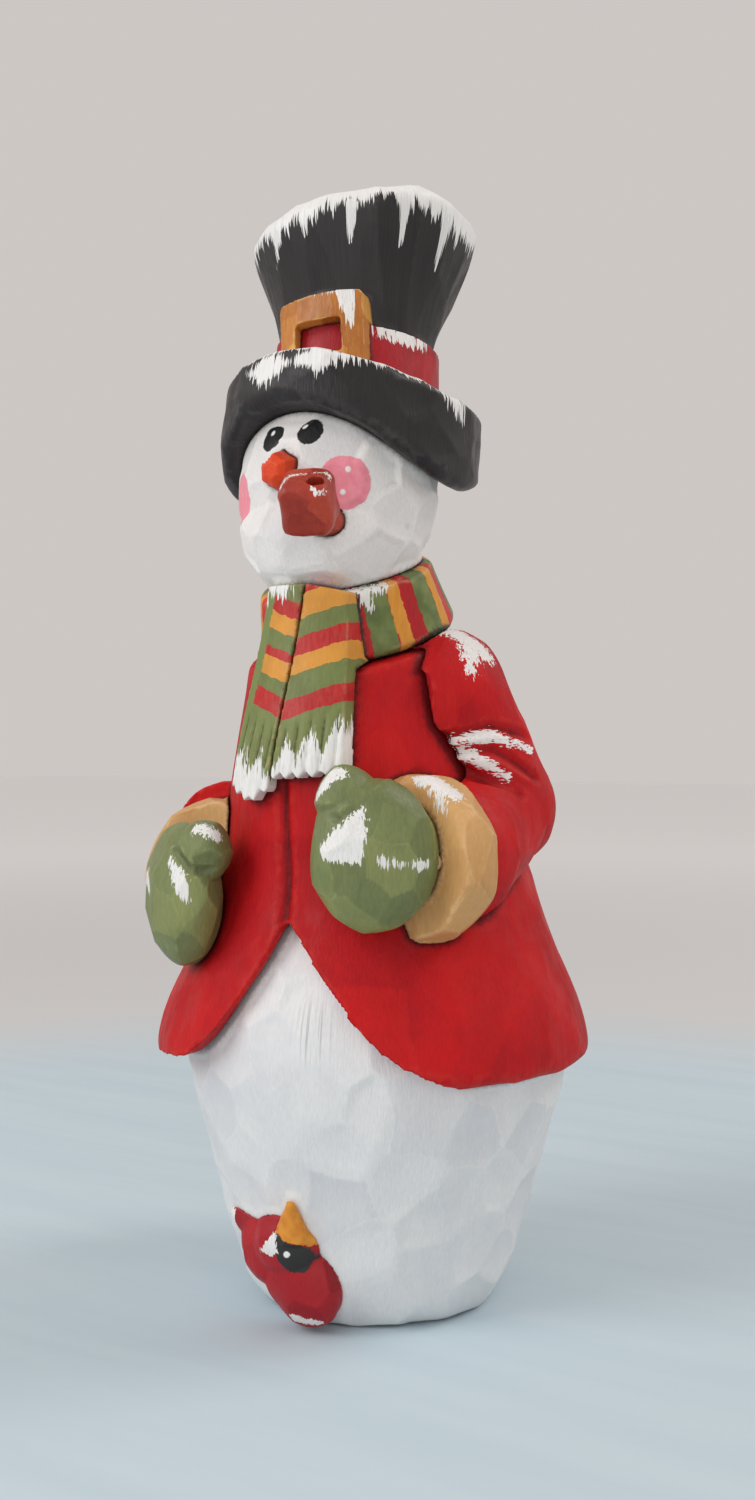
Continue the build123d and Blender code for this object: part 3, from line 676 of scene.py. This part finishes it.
stem = Carving("pipe_stem", 0.22, 2)
stem.facets((4.0, 6.0, 4.0), 0.12, 72, keep=0.5)
wood = Paint("pipe_stem_brown").base(*BROWNS, (1.6, 0.4, 1.6), 0.5, 0.7)
wood.wear(srgb(176, 88, 66), 0.5, 0.8)
stem.finish(wood.done(0.4, 0.4), "pipe_stem_carved")

# ---------------------------------------------------------------- the hat

BLACKS = srgb(24, 21, 23), srgb(42, 38, 40), srgb(62, 58, 60)
BRIM_AXIS, BRIM_RADIUS = (0.0, -7.6), 22.0
CROWN_AXIS, CROWN_RADIUS = (0.0, -4.5), 17.0
SNOW_ON_TOP = 2.9  # how far down the snow comes from the crown's top

# The crown's top is two flat cuts, each a point on it and its slopes along X and Y.
TOP_CUTS = ((4.0, -10.0, 188.6), (0.20, 0.10)), ((4.4, 2.4, 189.2), (-0.30, -0.20))

# The snow's icicles on the crown: where each starts and ends, as shares of its box, and its width.
DRIPS = (
    ((0.905, 0.21, 0.90), (0.872, 0.21, 0.67), 1.5),
    ((0.99, 0.40, 0.86), (0.935, 0.40, 0.60), 1.2),
    ((0.98, 0.50, 0.84), (0.975, 0.48, 0.70), 1.2),
    ((0.735, 0.05, 0.84), (0.712, 0.07, 0.67), 1.0),
    ((0.53, 0.0, 0.82), (0.525, 0.01, 0.72), 0.8),
    ((0.38, 0.02, 0.80), (0.33, 0.07, 0.62), 1.3),
    ((0.15, 0.15, 0.80), (0.16, 0.17, 0.66), 1.3),
    ((0.03, 0.55, 0.80), (0.06, 0.55, 0.60), 1.4),
    ((0.30, 0.90, 0.86), (0.30, 0.90, 0.64), 1.3),
    ((0.75, 0.90, 0.88), (0.73, 0.88, 0.62), 1.2),
)

brim = Carving("hat_brim", 0.42)
brim.facets((9.0, 9.0, 7.0), 0.4, 81, 0.4)
front_right = (0.36, 0.03, 0.84), (0.44, 0.01, 0.86), (0.56, 0.01, 0.88)
front_left = (0.66, 0.04, 0.90), (0.76, 0.10, 0.93), (0.88, 0.22, 0.86)
front = spots("hat_brim", *front_right, *front_left)
lobe = spots("hat_brim", (0.96, 0.34, 0.78), (1.0, 0.45, 0.66), (1.0, 0.48, 0.52))
back = spots("hat_brim", (0.02, 0.45, 0.45), (0.12, 0.8, 0.6), (0.5, 1.0, 0.8), (0.85, 0.85, 0.65))
top = 4.0 * (brim.no[:, 2] - 0.78)
brim.layers["snow"] = np.maximum.reduce(
    [
        stroke(brim.co, front, [0.6, 2.0, 0.2, 2.0, 0.9, 0.3]),
        stroke(brim.co, lobe, [0.8, 1.6, 0.2]),
        stroke(brim.co, back, [0.8, 1.2, 1.4, 0.6]),
        np.minimum(top, 1.0),
    ]
)
brim.unroll(BRIM_AXIS, BRIM_RADIUS)
black = Paint("brim_black", wrapped=True).base(*BLACKS, (1.7, 1.7, 0.2), 0.2, 0.6)
black.wear(srgb(110, 106, 106), 0.2, 0.3)
black.snow("snow", 2.6, (1.6, 1.6, 0.08))
brim.finish(black.done(0.42, 0.4), "hat_brim_carved")

crown = Carving("hat_crown", 0.42)
for point, slopes in TOP_CUTS:
    crown.plane(point, (-slopes[0], -slopes[1], 1.0))
crown.facets((7.5, 7.5, 40.0), 0.5, 83, 0.3)
tops = [point[2] + (crown.co[:, :2] - point[:2]) @ slopes for point, slopes in TOP_CUTS]
top_height = np.minimum(*tops)
snow = crown.co[:, 2] - top_height + SNOW_ON_TOP
icicles = np.full(len(snow), -99.0)
for high, low, width in DRIPS:
    drip = stroke(crown.co, spots("hat_crown", high, low), [width, 0.05])
    icicles = np.maximum(icicles, drip)
crown.layers["snow"] = snow
crown.layers["icicles"] = icicles
crown.unroll(CROWN_AXIS, CROWN_RADIUS)
black = Paint("crown_black", wrapped=True).base(*BLACKS, (1.5, 1.5, 0.05), 0.3, 0.5)
black.wear(srgb(110, 106, 108), 0.35, 0.3)
black.snow("snow", 3.8, (1.5, 1.5, 0.03))
black.snow("icicles", 0.8, (2.0, 2.0, 0.03), 0.9)
crown.finish(black.done(0.42, 0.4), "hat_crown_carved")

band = Carving("hat_band", 0.27, 2)
band.facets((7.0, 7.0, 12.0), 0.2, 85, keep=0.6)
line = spots("hat_band", (0.90, 0.18, 0.92), (0.96, 0.32, 0.82), (1.0, 0.46, 0.76))
band.layers["snow"] = stroke(band.co, line, [1.4, 1.2, 0.6])
reds = srgb(120, 8, 20), srgb(178, 16, 32), srgb(198, 34, 42)
red = Paint("band_red").base(*reds, (1.6, 1.6, 0.2), 0.3, 0.6)
red.wear(srgb(200, 60, 54), 0.3, 0.7, MAROON)
red.snow("snow", 1.8, (1.4, 1.4, 0.10))
band.finish(red.done(0.46, 0.4), "hat_band_carved")

buckle = Carving("hat_buckle", 0.24, 1)
buckle.facets((6.0, 6.0, 6.0), 0.15, 87, keep=0.5)
bar = spots("hat_buckle", (0.35, 0.3, 0.96), (0.75, 0.3, 0.99))
bar = stroke(buckle.co, bar, [0.5, 0.8])
drip = spots("hat_buckle", (0.80, 0.32, 0.95), (0.87, 0.38, 0.56))
drip = stroke(buckle.co, drip, [1.3, 0.4])
buckle.layers["snow"] = np.maximum(bar, drip)
golds = srgb(146, 80, 28), srgb(190, 112, 44), srgb(244, 194, 100)
gold = Paint("buckle_gold").base(*golds, (1.4, 1.4, 0.3), 0.6, 0.6)
gold.wear(srgb(248, 214, 140), 0.5, 0.7)
gold.snow("snow", 1.3, (1.5, 1.5, 0.15))
buckle.finish(gold.done(0.38, 0.4), "hat_buckle_carved")

# ---------------------------------------------------------------- the scarf

NECK_LEAN = math.radians(20.5)
NECK_Y = -6.0
WRAP_RADIUS = 16.0
STRIPES_START = 31.0  # degrees round the neck, towards the figure's left, where a red stripe starts
STRIPES_REPEAT = 36.0  # degrees from one red stripe to the next

wrap = Carving("scarf_wrap", 0.38, 2)
wrap.facets((9.0, 9.0, 12.0), 0.3, 91, keep=0.8)
low, high = boxes["scarf_wrap"]
seat = np.array([0.0, NECK_Y, low[2] + 0.26 * (high[2] - low[2])])
ahead = np.array([0.0, -math.cos(NECK_LEAN), -math.sin(NECK_LEAN)])
offset = wrap.co - seat
turn = np.degrees(np.arctan2(offset[:, 0], offset @ ahead))
phase = ((turn - STRIPES_START) / STRIPES_REPEAT) % 1.0
repeat_length = math.radians(STRIPES_REPEAT) * WRAP_RADIUS
for stripe, (start, end) in {"green": (0.30, 0.74), "gold": (0.74, 1.0)}.items():
    middle, half = (start + end) / 2, (end - start) / 2
    away = np.abs((phase - middle + 0.5) % 1.0 - 0.5)
    wrap.layers[stripe] = (half - away) * repeat_length
snow = spots("scarf_wrap", (0.74, 0.06, 0.62), (0.86, 0.16, 0.66))
snow = stroke(wrap.co, snow, [1.8, 1.6])
drip = spots("scarf_wrap", (0.80, 0.10, 0.60), (0.82, 0.14, 0.44))
drip = stroke(wrap.co, drip, [1.4, 0.2])
wrap.layers["snow"] = np.maximum(snow, drip)
reds = srgb(130, 12, 22), srgb(204, 20, 28), srgb(214, 44, 40)
scarf = Paint("scarf_wrap_stripes").base(*reds, (1.6, 1.6, 0.2), 0.3, 0.5)
green = scarf.mix(scarf.noise((0.3, 0.3, 0.3)), GREEN, srgb(94, 108, 58))
scarf.spot("green", green, 0.1, 0.3)
gold = scarf.mix(scarf.noise((0.9, 0.9, 0.3)), GOLD, srgb(214, 140, 48))
scarf.spot("gold", gold, 0.1, 0.3)
scarf.wear(srgb(232, 190, 140), 0.25, 0.95)
scarf.snow("snow", 2.0, (1.5, 1.5, 0.12))
wrap.finish(scarf.done(0.44, 0.45), "scarf_wrap_carved")

# Each tail's slant, its stripes' lower edges as shares of its height, from the top down, and the
# stripes' colours.
TAILS = {
    "right": (-0.35, (0.919, 0.844, 0.767, 0.695, 0.654, 0.569, 0.504, 0.419), "grygrygr"),
    "left": (0.33, (0.99, 0.86, 0.765, 0.669, 0.573, 0.448, 0.350), "rygrygr"),
}
SWATCHES = {"g": srgb(112, 126, 68), "r": srgb(190, 18, 28), "y": srgb(222, 152, 54)}
STRAND = 1.75  # the width of a strand of the fringe at the top, in mm
STRAND_SPREAD = 0.55  # how much wider it is at the foot
STRAND_CUT = 0.42
STRAND_ENDS = 1.1  # how unevenly the strands end

for side, (slant, edges, colours) in TAILS.items():
    node = "scarf_tail_" + side
    tail = Carving(node, 0.28, 2)
    low, high = boxes[node]
    width, _, height = high - low
    share = (tail.co[:, 2] - low[2]) / height
    if side == "right":
        middle = low[0] + width * (0.36 + 0.56 * share)
        swell, wave_start = 1.0, 0.2
    else:
        middle = low[0] + width * (0.52 + 0.12 * share)
        swell, wave_start = 1.6, 1.2
    across = tail.co[:, 0] - middle
    rise = share - slant * across / height
    below = smoothstep(edges[-1] - rise, 0.0, 0.10)
    spacing = STRAND + STRAND_SPREAD * (1.0 - share)
    strands = np.abs(((across / spacing) % 1.0) - 0.5) * 2.0
    tail.shift -= STRAND_CUT * below * strands**3.0 * smoothstep(-tail.no[:, 1], 0.1, 0.5)
    # Darker deep in the cuts between the strands: antiquing and painted shade.
    tail.dark = np.maximum(tail.dark, 0.7 * below * strands**4.0)
    ragged = smoothstep(tail.co[:, 2], low[2] + 7.0, low[2])
    tail.co[:, 2] += ragged * strands * STRAND_ENDS
    tail.layers["rise"] = rise
    waves = swell * np.sin(across * 1.5 + wave_start)
    snow = (0.16 - rise) * height * 0.75 + waves
    if side == "right":
        chin = stroke(tail.co, spots(node, (0.40, 0.5, 0.99), (0.66, 0.4, 0.985)), [1.2, 1.4])
        snow = np.maximum(snow, chin)
        tail.layers["edging"] = low[0] + width * (0.10 + 0.50 * share) - tail.co[:, 0]
    tail.layers["snow"] = snow
    stops = [(0.0, GREEN)] + [(edge, SWATCHES[c]) for edge, c in zip(edges[::-1], colours[::-1])]
    scarf = Paint(node + "_stripes")
    striped(scarf, scarf.layer("rise"), stops, 0.010)
    if side == "right":
        scarf.spot("edging", GREEN, 0.15, 0.4)
    scarf.wear(srgb(232, 190, 140), 0.25, 0.95)
    scarf.snow("snow", 3.0, (1.5, 1.5, 0.09))
    tail.finish(scarf.done(0.44, 0.45), node + "_carved")

# ---------------------------------------------------------------- the cardinal

bird = Carving("cardinal", 0.28, 2)
bird.facets((6.0, 6.0, 6.5), 0.3, 95, keep=0.8)
mask_top = (0.58, 0.76), (0.85, 0.655), (0.88, 0.58)
mask_foot = (0.80, 0.47), (0.70, 0.465), (0.63, 0.53), (0.59, 0.64)
bird.layers["mask"] = patch(bird.co, outline("cardinal", *mask_top, *mask_foot))
beak_top = (0.585, 0.76), (0.62, 0.92), (0.70, 1.05), (0.90, 1.05)
beak_foot = (0.90, 0.66), (0.72, 0.70)
bird.layers["beak"] = patch(bird.co, outline("cardinal", *beak_top, *beak_foot))
nape = outline("cardinal", (0.47, 0.60), (0.575, 0.74), (0.61, 0.60), (0.55, 0.58))
dabs = [patch(bird.co, nape) + 0.1]
for start, end, radii in (
    ((0.02, 0.6, 0.78), (0.05, 0.5, 0.64), (0.7, 0.3)),
    ((0.16, 0.4, 0.50), (0.20, 0.4, 0.40), (0.7, 0.3)),
    ((0.44, 0.4, 0.16), (0.55, 0.4, 0.08), (0.4, 0.5)),
    ((0.68, 0.36, 0.09), (0.88, 0.5, 0.06), (0.9, 0.6)),
):
    dabs.append(stroke(bird.co, spots("cardinal", start, end), radii))
bird.layers["dabs"] = np.maximum.reduce(dabs)
bird.layers["eye"] = stroke(bird.co, [spot("cardinal", 0.700, 0.07, 0.606)], [0.55])
bird.dark *= 0.5
reds = srgb(116, 10, 24), srgb(176, 16, 32), srgb(200, 36, 42)
feathers = Paint("cardinal_red").base(*reds, (1.4, 1.4, 0.8), 0.35, 0.5)
feathers.wear(srgb(206, 78, 70), 0.4, 0.8)
feathers.spot("mask", srgb(48, 46, 46), 0.1, 0.4)
horn = feathers.mix(feathers.noise((0.6, 0.6, 0.6)), srgb(228, 154, 52), srgb(214, 130, 40))
feathers.spot("beak", horn, 0.1, 0.4)
feathers.snow("dabs", 0.7, (1.4, 1.4, 0.9))
feathers.spot("eye", SNOW, 0.12, 0.15)
bird.finish(feathers.done(0.42, 0.4), "cardinal_carved")

# ---------------------------------------------------------------- the glued dowels inside

birch = Paint("birch_grain")
rings = birch.noise((2.4, 2.4, 0.18), 4.0, 0.6)
birch.colour = birch.mix(rings, srgb(226, 200, 158), srgb(198, 164, 116))
birch.cover(birch.noise((3.0, 3.0, 0.5), 2.0, 0.5, 11.0, 0.1), srgb(160, 120, 78), 0.3)
birch.raise_by(rings, 0.6)
birch_material = birch.done(0.6, 0.4)
for name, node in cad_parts.items():
    if name.endswith("dowel"):
        node.data.materials.clear()
        node.data.materials.append(birch_material)

# ---------------------------------------------------------------- the studio


def floor_paint():
    """Pale blue-grey near the figure, easing to a warm pale grey further away, painted ever brighter
    with distance as painted light that makes up for the lamps' light falling off.
    """
    paint = Paint("studio_floor")
    away = paint.add("ShaderNodeVectorMath", operation="LENGTH")
    paint.feed(away.inputs[0], paint.place)
    grain = paint.noise((0.01, 0.08, 0.01), 3.0, 0.6)
    near = paint.mix(paint.math("MULTIPLY", grain, 0.5), srgb(198, 214, 222), srgb(188, 206, 216))
    # Painted light: the far floor grows brighter with distance to make up for the lamps' falloff and
    # meet the backdrop.
    further = paint.ramp(away.outputs["Value"], 250.0, 1300.0)
    distant_painted_light = paint.mix(further, (0.66, 0.66, 0.66, 1.0), (0.97, 0.97, 0.97, 1.0))
    paint.colour = paint.mix(paint.ramp(away.outputs["Value"], 190.0, 330.0), near, distant_painted_light)
    return paint.done(0.8, 0.0, shine=0.1)


sheet = bmesh.new()
bmesh.ops.create_grid(sheet, x_segments=12, y_segments=12, size=FLOOR_HALF_WIDTH)
floor_mesh = bpy.data.meshes.new("studio_floor")
sheet.to_mesh(floor_mesh)
sheet.free()
floor_mesh.materials.append(floor_paint())
floor = bpy.data.objects.new("studio_floor", floor_mesh)
bpy.context.scene.collection.objects.link(floor)

world = bpy.data.worlds.new("studio_air")
world.use_nodes = True
sky = world.node_tree.nodes["Background"]
sky.inputs["Color"].default_value = srgb(205, 199, 196)
sky.inputs["Strength"].default_value = 1.0
bpy.context.scene.world = world


def lamp(name, azimuth, distance, height, size, watts, colour):
    """A soft area light, aimed at the figure's chest."""
    data = bpy.data.lights.new(name, "AREA")
    data.shape = "DISK"
    data.size = size
    data.energy = watts
    data.color = colour
    lit = bpy.data.objects.new(name, data)
    turn = math.radians(azimuth)
    lit.location = (distance * math.sin(turn), -distance * math.cos(turn), height)
    pitch = math.atan2(height - CHEST, distance)
    lit.rotation_euler = (math.pi / 2 - pitch, 0.0, turn)
    bpy.context.scene.collection.objects.link(lit)


lamp("key_light", -28.0, 0.60, 0.46, 0.45, 2.0, (0.98, 0.99, 1.0))
lamp("fill_light", 40.0, 0.60, 0.12, 0.50, 0.4, (1.0, 0.99, 0.97))
lamp("back_light", 128.0, 0.55, 0.70, 0.35, 1.7, (1.0, 0.98, 0.94))

view = bpy.data.cameras.new("studio_camera")
view.lens = LENS
view.sensor_width = SENSOR
view.clip_start = 0.01
camera = bpy.data.objects.new("studio_camera", view)
turn = math.radians(STUDIO_AZIMUTH)
camera.location = (STUDIO_DISTANCE * math.sin(turn), -STUDIO_DISTANCE * math.cos(turn), STUDIO_EYE)
camera.rotation_euler = (math.pi / 2, 0.0, turn)
bpy.context.scene.collection.objects.link(camera)
bpy.context.scene.camera = camera
bpy.context.scene.view_settings.view_transform = "Standard"
